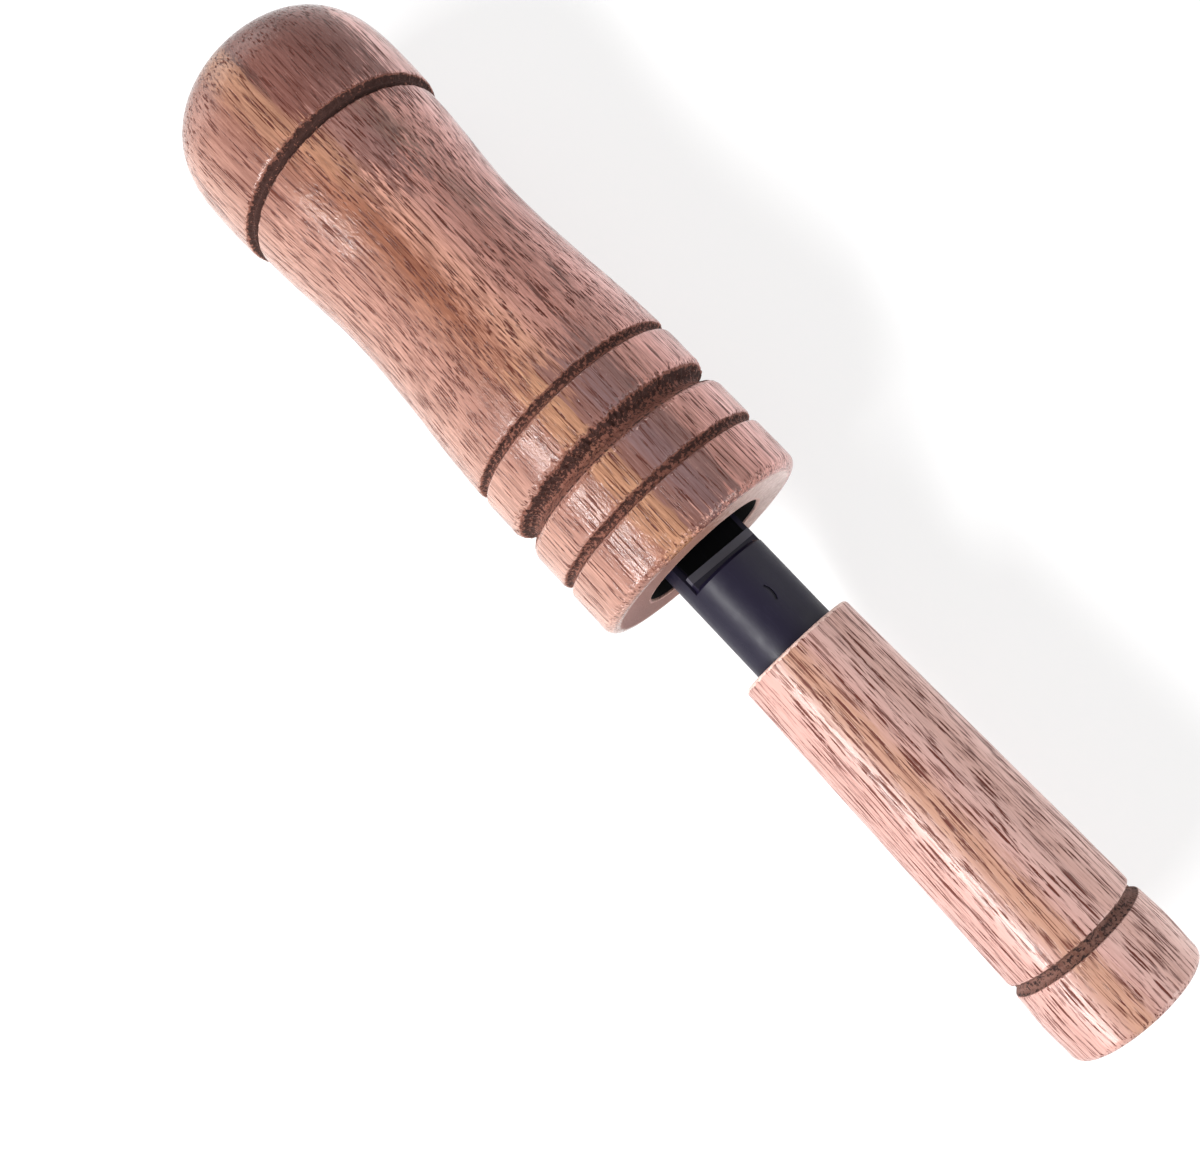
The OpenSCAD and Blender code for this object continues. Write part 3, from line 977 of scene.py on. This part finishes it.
@dataclass
class Barrel(TurnedWood):
    """The barrel: domed mouthpiece, waisted grip, grooved socket end, and the bores through it."""

    head_radius: float = 17.35
    head_place: float = 79.6
    dome_share: float = 0.65
    head_base_radius: float = 17.2
    grip_top_radius: float = 16.45
    waist_radius: float = 15.2
    waist_place: float = 54.0
    socket_end_radius: float = 16.85
    socket_end_length: float = 23.0
    edge_radius: float = 1.5
    ring_groove_places: Pair = (8.5, 25.6)
    lanyard_groove_place: float = 17.0
    head_groove_place: float = 74.0
    socket_depth: float = 29.0
    relief_length: float = 2.0
    socket_mouth_radius: float = 9.55
    socket_back_radius: float = 8.89
    chamber_radius: float = 7.94
    chamber_end: float = 84.1
    drill_point_length: float = 1.9
    mouth_radius: float = 4.76
    rim_round: float = 0.35
    dome_steps: int = 44

    def grooves(self) -> tuple[Groove, ...]:
        """Returns the two rings, the lanyard groove between them and the head's groove."""
        socket_ring, grip_ring = self.ring_groove_places
        ring = {"width": 1.7, "depth": 1.0, "floor_share": 0.3, "char_start": -0.8}
        lanyard = Groove(
            at=self.lanyard_groove_place,
            width=3.9,
            depth=2.1,
            floor_share=0.08,
            torn=0.46,
            char_start=-0.5,
            char=0.48,
        )
        head = Groove(
            at=self.head_groove_place,
            width=1.75,
            depth=1.0,
            floor_share=0.35,
            torn=0.22,
            tooth=0.55,
            char_start=-1.8,
            brown=0.46,
            char=0.5,
        )
        return Groove(socket_ring, torn=0.18, **ring), lanyard, Groove(grip_ring, torn=0.2, **ring), head

    def skin_radius(self, place: float) -> float:
        """Returns the radius of the skin between the socket mouth and the head's fullest place."""
        if place < self.socket_end_length:
            return self.socket_end_radius
        if place < self.waist_place:
            share = (place - self.socket_end_length) / (self.waist_place - self.socket_end_length)
            return eased(self.socket_end_radius, self.waist_radius, share)
        if place < self.head_groove_place:
            share = (place - self.waist_place) / (self.head_groove_place - self.waist_place)
            return eased(self.waist_radius, self.grip_top_radius, share)
        share = (place - self.head_groove_place) / (self.head_place - self.head_groove_place)
        return eased(self.head_base_radius, self.head_radius, min(share, 1.0))

    def dome(self, rim: float) -> Iterator[Point]:
        """Yields the points of the domed end, from the head's fullest place to the lip's rim."""
        rim_angle = math.asin((rim / self.head_radius) ** (1 / self.dome_share))
        reach = (self.length - self.head_place) / math.cos(rim_angle) ** self.dome_share
        for i in range(self.dome_steps):
            angle = math.pi / 2 + (rim_angle - math.pi / 2) * i / self.dome_steps
            place = self.head_place + reach * max(math.cos(angle), 0.0) ** self.dome_share
            yield Point(place, self.head_radius * math.sin(angle) ** self.dome_share)

    def outline(self) -> list[Point]:
        """Returns the closed outline: edge, skin, dome, lip, bores, socket rim and end face."""
        edge = [
            Point(
                self.edge_radius * (1 - math.cos(turn)),
                self.socket_end_radius - self.edge_radius * (1 - math.sin(turn)),
                wear=0.3 * math.sin(2 * turn),
                skin=math.sin(turn),
            )
            for turn in quarter(self.arc_steps)[:-1]
        ]
        rim = self.mouth_radius + self.lip_radius
        relief_end = self.socket_depth + self.relief_length
        inside = (
            (self.chamber_end + self.drill_point_length, self.mouth_radius),
            (self.chamber_end, self.chamber_radius),
            (relief_end, self.chamber_radius),
            (relief_end, self.socket_back_radius),
            (self.socket_depth, self.socket_back_radius),
            (self.rim_round, self.socket_mouth_radius),
        )
        socket_rim = [
            Point(
                self.rim_round * (1 - math.sin(turn)),
                self.socket_mouth_radius + self.rim_round * (1 - math.cos(turn)),
                wear=0.8,
                end=1,
                skin=0,
            )
            for turn in quarter(self.arc_steps)[1:]
        ]
        face_start = self.socket_mouth_radius + 2 * self.rim_round
        face = steps(face_start, self.socket_end_radius - self.edge_radius, self.face_pitch)
        return [
            *edge,
            *self.skin(self.edge_radius, self.head_place),
            *self.dome(rim),
            *self.lip(rim),
            # The bores take the painted shade; the end face and the socket rim take the end grain's painted
            # reflection.
            *(Point(place, radius, bore=1, skin=0) for place, radius in inside),
            *socket_rim,
            *(Point(0, radius, end=1, skin=0) for radius in face),
        ]


@dataclass
class Stopper(TurnedWood):
    """The stopper: a slim cone with one groove and an end band, bored through."""

    length: float = 61.3
    lip_radius: float = 0.8
    arc_steps: int = 10
    face_radius: float = 8.83
    cone_radius: float = 9.97
    groove_place: float = 49.8
    band_base_radius: float = 10.12
    band_radius: float = 10.4
    band_end_share: float = 0.985
    face_round: float = 0.6
    end_round: float = 1.2
    insert_bore_radius: float = 6.39
    insert_bore_length: float = 24.3
    exhaust_radius: float = 4.76

    def grooves(self) -> tuple[Groove, ...]:
        """Returns the groove next to the end band."""
        at = self.groove_place
        groove = Groove(
            at, width=1.8, depth=0.7, floor_share=0.4, torn=0.12, torn_side=-1, brown=0.27, char=0.24
        )
        return (groove,)

    def skin_radius(self, place: float) -> float:
        """Returns the radius of the cone and of the end band."""
        if place < self.groove_place:
            return self.face_radius + (self.cone_radius - self.face_radius) * place / self.groove_place
        middle = (self.groove_place + self.length) / 2
        if place < middle:
            share = (place - self.groove_place) / (middle - self.groove_place)
            return eased(self.band_base_radius, self.band_radius, share)
        share = (place - middle) / (self.length - self.end_round - middle)
        return eased(self.band_radius, self.band_radius * self.band_end_share, min(share, 1.0))

    def outline(self) -> list[Point]:
        """Returns the closed outline: inner face, edge, cone, band, end face, lip and bores."""
        face_end = self.face_radius - self.face_round
        edge = [
            Point(
                self.face_round * (1 - math.cos(turn)),
                face_end + self.face_round * math.sin(turn),
                wear=math.sin(2 * turn),
                skin=math.sin(turn),
            )
            for turn in quarter(self.arc_steps)[:-1]
        ]
        end_start = self.length - self.end_round
        end_radius = self.band_radius * self.band_end_share - self.end_round
        end_edge = [
            Point(
                end_start + self.end_round * math.sin(turn),
                end_radius + self.end_round * math.cos(turn),
                skin=math.cos(turn),
            )
            for turn in quarter(self.arc_steps)
        ]
        rim = self.exhaust_radius + self.lip_radius
        end_face = steps(end_radius - self.face_pitch, rim, self.face_pitch)
        inside = (self.exhaust_radius, self.insert_bore_radius)
        return [
            *(Point(0, r, skin=0) for r in steps(self.insert_bore_radius, face_end, self.face_pitch)),
            *edge,
            *self.skin(self.face_round, end_start),
            *end_edge,
            *(Point(self.length, r, skin=0) for r in end_face),
            *self.lip(rim),
            # The insert bore and the exhaust take the bores' painted shade.
            *(Point(self.insert_bore_length, r, bore=1, skin=0) for r in inside),
        ]


@dataclass
class MouldedPart:
    """A moulded plastic part: the CAD node's own shape with its sharp edges rounded.

    Fields:
        node: The CAD node.
        name: The piece's name.
        edge_round: Rounding of the edges, in mm.
        sharp_angle: Turn above which an edge is rounded, in degrees.
        flat_angle: Turn below which two facets are one face, in degrees.
        merge_distance: Distance below which two corners are one, in mm.
    """

    node: str
    name: str
    edge_round: float
    sharp_angle: float = 25.0
    flat_angle: float = 0.3
    merge_distance: float = 0.001

    def build(self, material: bpy.types.Material) -> bpy.types.Object:
        """Copies the node, joins its facets into faces and rounds the edges between them.

        Args:
            material: The part's finish.

        Returns:
            The piece.
        """
        mesh_data = bmesh.new()
        mesh_data.from_mesh(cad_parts[self.node].data)
        bmesh.ops.remove_doubles(mesh_data, verts=mesh_data.verts, dist=self.merge_distance * MM)
        flat = math.radians(self.flat_angle)
        bmesh.ops.dissolve_limit(mesh_data, angle_limit=flat, verts=mesh_data.verts, edges=mesh_data.edges)
        round_edges(mesh_data, self.sharp_angle, self.edge_round * MM, segments=3)
        piece = finish_piece(mesh_data, self.name, self.node, material)
        even_shading(piece)
        return piece


@dataclass
class Reed:
    """The reed: a thin strip of film, clamped at its tail and free at its tip.

    Fields:
        name: The piece's name.
        axis_height: Height of the insert's axis above the floor, in mm.
        tail: Row place of its clamped end, in mm.
        hinge: Row place where it leaves the wedge's toe, in mm.
        tip: Row place of its free end, in mm.
        width: Its width, in mm.
        thickness: Its drawn thickness, in mm.
        tip_length: Length at the tip that isn't cut, in mm.
        seat: Height of its underside above the insert's axis, in mm.
        roll: Turn of the insert about its axis, in degrees.
        edge_round: Rounding of its edges, in mm.
        cuts: Parts into which it is cut along its length, to bend in.
        sharp_angle: Turn above which an edge is rounded, in degrees.
    """

    name: str
    axis_height: float
    tail: float = 26.95
    hinge: float = 9.25
    tip: float = -20.05
    width: float = 10.4
    thickness: float = 0.35
    tip_length: float = 2.4
    seat: float = 1.74
    roll: float = 25.0
    edge_round: float = 0.1
    cuts: int = 36
    sharp_angle: float = 60.0

    def build(self, material: bpy.types.Material) -> bpy.types.Object:
        """Cuts the strip, rounds its edges and lets it bend between the board and its own body.

        Args:
            material: The reed's finish.

        Returns:
            The reed.
        """
        mesh_data = bmesh.new()
        half = self.width / 2
        corners = [(self.tip, -half), (self.tail, -half), (self.tail, half), (self.tip, half)]
        mesh_data.faces.new([mesh_data.verts.new((x, y, self.seat)) for x, y in corners])
        cut_start = self.tip + self.tip_length
        for at in list(steps(cut_start, self.tail, (self.tail - cut_start) / self.cuts))[1:]:
            whole = mesh_data.verts[:] + mesh_data.edges[:] + mesh_data.faces[:]
            bmesh.ops.bisect_plane(mesh_data, geom=whole, plane_co=(at, 0, 0), plane_no=(1, 0, 0))
        lifted = bmesh.ops.extrude_face_region(mesh_data, geom=mesh_data.faces[:])["geom"]
        raised = [item for item in lifted if isinstance(item, bmesh.types.BMVert)]
        bmesh.ops.translate(mesh_data, vec=(0, 0, self.thickness), verts=raised)
        bmesh.ops.recalc_face_normals(mesh_data, faces=mesh_data.faces)
        round_edges(mesh_data, self.sharp_angle, self.edge_round, segments=2)
        turn = Matrix.Rotation(-math.radians(self.roll), 4, "X")
        place = Matrix.Translation((0, 0, self.axis_height * MM)) @ turn @ Matrix.Scale(MM, 4)
        bmesh.ops.transform(mesh_data, matrix=place, verts=mesh_data.verts)
        piece = finish_piece(mesh_data, self.name, "reed", material)
        even_shading(piece)
        on_seat = place @ Vector((self.hinge, 0, self.seat))
        at_tip = place @ Vector((self.tip, 0, self.seat))
        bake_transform(piece, "tone_board", "reed", start=on_seat, end=at_tip)
        return piece


@dataclass(frozen=True)
class SoftBox:
    """A soft studio light that faces the call.

    Fields:
        name: The lamp's name.
        place: Where it stands, in metres.
        size: Its length and width, in metres.
        power: Its power, in watts.
        aim: What it faces, in metres.
        long_along: Direction of its long side.
    """

    name: str
    place: tuple[float, float, float]
    size: tuple[float, float]
    power: float
    aim: tuple[float, float, float] = (0.0, 0.0, 0.017)
    long_along: tuple[float, float, float] = (1.0, 0.0, 0.0)

    def build(self) -> bpy.types.Object:
        """Makes the lamp and turns its face to the call."""
        lamp = bpy.data.lights.new(self.name, "AREA")
        lamp.shape = "RECTANGLE"
        lamp.size, lamp.size_y = self.size
        lamp.energy = self.power
        box = bpy.data.objects.new(self.name, lamp)
        back = (Vector(self.place) - Vector(self.aim)).normalized()
        along = Vector(self.long_along)
        along = (along - back * along.dot(back)).normalized()
        across = back.cross(along)
        turn = Matrix((along, across, back)).transposed().to_4x4()
        box.matrix_world = Matrix.Translation(self.place) @ turn
        bpy.context.scene.collection.objects.link(box)
        return box


def seen_rays(graph: Graph) -> Socket:
    """Returns 1 for rays on which the camera sees the surround, directly or in a gloss, and 0 for light."""
    path = add_node(graph.tree, "ShaderNodeLightPath").outputs
    direct = graph.calc("MAXIMUM", path["Is Camera Ray"], path["Is Glossy Ray"])
    return graph.calc("MAXIMUM", direct, path["Is Transmission Ray"])


@dataclass
class Studio:
    """The photographer's table: pale floor, soft boxes, white surround and the camera.

    Fields:
        camera_place: Where the camera stands, in mm.
        camera_turn: Its turns about x, y and z, in degrees.
        focal_length_px: Focal length in the photograph's pixels.
        sensor_width: Width of the sensor, in mm.
        floor_size: Side of the floor, in metres.
        floor_colour: The floor's colour.
        ambient: Strength of the room's light.
        floor_glow: Brightness that the camera sees in the floor besides its light.
        floor_glow_share: How much of it the camera sees.
    """

    camera_place: tuple[float, float, float] = (34.71, 0.0, 211.43)
    camera_turn: tuple[float, float, float] = (4.5786, 9.5258, 47.1144)
    focal_length_px: float = 1470.16
    sensor_width: float = 36.0
    floor_size: float = 4.0
    floor_colour: str = "#f4f4f4"
    ambient: float = 0.3
    floor_glow: float = 1.1
    floor_glow_share: float = 0.6

    def build(self) -> None:
        """Sets up the camera, the light and the floor."""
        self.camera()
        self.surround()
        self.floor()
        for box in self.lights():
            box.build()
        bpy.context.scene.view_settings.view_transform = "Standard"

    def lights(self) -> tuple[SoftBox, ...]:
        """Returns the soft boxes."""
        return (
            SoftBox("key_box", (0.05, -0.475, 0.39), (0.62, 0.075), 7.8, long_along=(0.29, -0.051, -0.065)),
            SoftBox("low_window", (0.05, -0.75, 0.22), (1.0, 0.4), 0.7),
            SoftBox("far_window", (0.05, 0.80, 0.75), (1.4, 0.8), 2.8),
            SoftBox("far_low_window", (0.05, 0.75, 0.2), (1.0, 0.4), 1.4),
            SoftBox("mouth_fill", (-0.7, -0.1, 0.2), (0.9, 0.35), 1.6, long_along=(0.0, 1.0, 0.0)),
            SoftBox("end_fill", (0.5, 0.32, 0.2), (0.25, 0.25), 1.3, long_along=(0.0, 1.0, 0.0)),
        )

    def camera(self) -> None:
        """Puts the camera where the photographer's stood."""
        lens = bpy.data.cameras.new("photo_camera")
        lens.sensor_width = self.sensor_width
        lens.lens = self.focal_length_px * self.sensor_width / PHOTO_WIDTH_PX
        lens.clip_start = 0.01
        camera = bpy.data.objects.new("photo_camera", lens)
        camera.location = Vector(self.camera_place) * MM
        camera.rotation_euler = [math.radians(angle) for angle in self.camera_turn]
        bpy.context.scene.collection.objects.link(camera)
        bpy.context.scene.camera = camera

    def surround(self) -> None:
        """Makes the room: soft white light, and plain white where the camera or a gloss sees it."""
        world = bpy.data.worlds.new("white_surround")
        bpy.context.scene.world = world
        graph = Graph.of(world)
        strength = graph.blend(seen_rays(graph), self.ambient, 1.0)
        background = add_node(graph.tree, "ShaderNodeBackground", {"Color": WHITE, "Strength": strength})
        graph.show("ShaderNodeOutputWorld", background)

    def floor(self) -> None:
        """Lays the pale table, which shows nearly white and keeps the call's shadow."""
        mesh_data = bmesh.new()
        bmesh.ops.create_grid(mesh_data, x_segments=1, y_segments=1, size=self.floor_size / 2)
        mesh = bpy.data.meshes.new("studio_floor")
        mesh_data.to_mesh(mesh)
        mesh_data.free()
        floor = bpy.data.objects.new("studio_floor", mesh)
        bpy.context.scene.collection.objects.link(floor)
        material = bpy.data.materials.new("matt_white_paper")
        graph = Graph.of(material)
        paper = graph.add("ShaderNodeBsdfDiffuse", {"Color": linear(self.floor_colour)})
        glow = graph.add("ShaderNodeEmission", {"Color": WHITE, "Strength": self.floor_glow})
        share = graph.times(seen_rays(graph), self.floor_glow_share)
        both = add_node(graph.tree, "ShaderNodeMixShader", {0: share, 1: paper, 2: glow})
        graph.show("ShaderNodeOutputMaterial", both)
        mesh.materials.append(material)


# The two walnuts


BARREL_COLOURS = (
    (0.0, "#b79182"),
    (0.15, "#a37b6d"),
    (0.27, "#9f7568"),
    (0.34, "#936858"),
    (0.41, "#9d6d59"),
    (0.48, "#9d6d5a"),
    (0.56, "#c08d7a"),
    (0.64, "#ba8679"),
    (0.73, "#ac7467"),
    (0.8, "#bb8377"),
    (0.87, "#d89f96"),
    (0.94, "#e8b6b0"),
    (1.0, "#d3a39b"),
)
BARREL_PATCHES = (
    Patch("#70463f", 0.9, along=-81.3, across=6.6, reach=16.2, spread=7.2, end_fade=4.0, side_fade=1.5),
    Patch("#73504d", 0.74, along=-59.0, across=4.0, reach=6.0, spread=4.2, end_fade=5.0, side_fade=2.0),
    Patch("#654d3e", 0.6, along=-59.5, across=8.4, reach=4.0, spread=1.4, end_fade=4.0, side_fade=2.0),
    Patch("#654d3e", 0.5, along=-46.0, across=9.6, reach=2.5, spread=0.8, end_fade=3.0, side_fade=1.2),
    Patch("#ab8065", 0.75, along=-81.0, across=-2.9, reach=16.0, spread=2.2, end_fade=6.0, side_fade=1.8),
    Patch("#a87a5f", 0.7, along=-61.0, across=0.0, reach=5.0, spread=2.0, end_fade=6.0, side_fade=1.6),
    Patch("#84523c", 0.8, along=-44.0, across=-2.0, reach=12.0, spread=1.6, end_fade=10.0, side_fade=1.8),
    Patch("#6c4c48", 0.85, along=-6.0, across=4.2, reach=15.0, spread=4.5, end_fade=5.0, side_fade=2.0),
    Patch("#6b575c", 0.5, along=-4.0, across=4.4, reach=12.0, spread=1.7, end_fade=8.0, side_fade=2.0),
    Patch("#ae8163", 0.8, along=-5.0, across=-1.8, reach=18.0, spread=2.0, end_fade=9.0, side_fade=1.0),
    Patch("#7d5347", 0.4, along=-76.0, across=-7.5, reach=15.0, spread=5.0, end_fade=4.0, side_fade=4.0),
    Patch("#754a3f", 0.4, along=-8.0, across=-6.5, reach=16.0, spread=3.5, end_fade=6.0, side_fade=3.0),
    Patch("#3c2826", 0.85, along=-77.0, across=-0.1, reach=4.0, spread=0.6, end_fade=7.0, side_fade=1.4),
    Patch("#b5837c", 0.5, along=-83.0, across=11.0, reach=4.0, spread=2.0, end_fade=5.0, side_fade=3.0),
    Patch("#b98a70", 0.5, along=-25.4, across=1.5, reach=4.0, spread=1.2, end_fade=5.0, side_fade=1.5),
    Patch("#7a4f41", 0.4, along=-57.0, across=-4.6, reach=5.0, spread=1.2, end_fade=4.0, side_fade=1.5),
)
BARREL_DASHES = (
    Dashes(length=15.0, spacing=0.55, width_share=0.36, strength=1.0, halo=0.2, first=-66.0, last=-38.0),
    Dashes(length=4.0, spacing=0.45, width_share=0.36, strength=1.0, halo=0.2, first=-40.0, last=-20.0),
    Dashes(length=11.0, spacing=0.36, width_share=0.38, strength=0.9, halo=0.2, first=-24.0),
    Dashes(length=9.0, spacing=0.4, width_share=0.38, strength=0.9, halo=0.2, last=-20.0),
    Dashes(length=6.0, spacing=0.6, width_share=0.3, strength=1.0, halo=0.2),
)
STOPPER_COLOURS = (
    (0.0, "#ad877f"),
    (0.12, "#ac857c"),
    (0.24, "#b88f86"),
    (0.35, "#a68074"),
    (0.42, "#9d786a"),
    (0.5, "#a57e6f"),
    (0.58, "#b68f87"),
    (0.68, "#be9991"),
    (0.78, "#c49a8f"),
    (0.88, "#cca59c"),
    (1.0, "#dab7ae"),
)
STOPPER_PATCHES = (
    Patch("#b68666", 0.25, along=60.0, across=-1.2, reach=45.0, spread=1.3, end_fade=10.0, side_fade=1.2),
)
STOPPER_DASHES = (
    Dashes(length=12.0, spacing=0.62, width_share=0.4, strength=0.85, halo=0.3),
    Dashes(length=7.0, spacing=0.48, width_share=0.38, strength=0.8, halo=0.25),
    Dashes(length=3.2, spacing=0.33, width_share=0.34, strength=0.4, halo=0.12),
)


def barrel_walnut(axis_height: float) -> Walnut:
    """Returns the barrel's walnut: purple-grey heartwood above, golden wood along the middle."""
    return Walnut(
        name="lacquered_walnut_barrel",
        across_colours=BARREL_COLOURS,
        patches=BARREL_PATCHES,
        dashes=BARREL_DASHES,
        pore="#481809",
        burnt="#7a4a3c",
        charred="#2a0d05",
        edge_wear_and_highlight="#dcb4a8",
        half_width=17.5,
        axis_height=axis_height,
        streak_share=0.45,
        gloss_roughness=0.08,
        grain_depth=0.055,
    )


def stopper_walnut(axis_height: float) -> Walnut:
    """Returns the stopper's walnut: pale sapwood with bold dashes."""
    return Walnut(
        name="lacquered_walnut_stopper",
        across_colours=STOPPER_COLOURS,
        patches=STOPPER_PATCHES,
        dashes=STOPPER_DASHES,
        pore="#512015",
        burnt="#623e33",
        charred="#200c0a",
        edge_wear_and_highlight="#e6c6bb",
        half_width=10.5,
        axis_height=axis_height,
        streak_share=0.12,
        gloss_roughness=0.29,
        grain_depth=0.016,
    )


def main() -> None:
    """Builds the call, piece by piece, then the studio."""
    logging.basicConfig(level=logging.INFO, format="%(message)s")
    barrel_low, barrel_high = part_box("barrel")
    stopper_low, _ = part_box("stopper")
    axis_height = (barrel_low.z + barrel_high.z) / 2 / MM

    barrel = Barrel(
        node="barrel",
        name="turned_barrel",
        finish=barrel_walnut(axis_height),
        origin=barrel_high.x / MM,
        heading=-1,
        axis_height=axis_height,
    ).build()
    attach(barrel, "barrel")

    stopper = Stopper(
        node="stopper",
        name="turned_stopper",
        finish=stopper_walnut(axis_height),
        origin=stopper_low.x / MM,
        heading=1,
        axis_height=axis_height,
    ).build()
    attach(stopper, "stopper")

    plastic = MouldedAbs("moulded_black_abs").build(axis_height)
    # The wedge's toe is coloured paler, a painted highlight.
    abs_with_toe_highlight = MouldedAbs("moulded_black_abs_painted_toe_highlight", toe_highlight_end=TOE_END).build(axis_height)
    board = MouldedPart("tone_board", "moulded_tone_board", edge_round=0.18).build(plastic)
    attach(board, "tone_board")
    wedge = MouldedPart("reed_wedge", "moulded_reed_wedge", edge_round=0.05).build(abs_with_toe_highlight)
    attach(wedge, "wedge")

    reed = Reed("film_reed", axis_height).build(ReedFilm("polyester_film_painted_shade_black").build())

    Studio().build()

    for piece in (barrel, stopper, board, wedge, reed):
        LOG.info("%s: %d vertices", piece.name, len(piece.data.vertices))


if __name__ == "__main__":
    main()
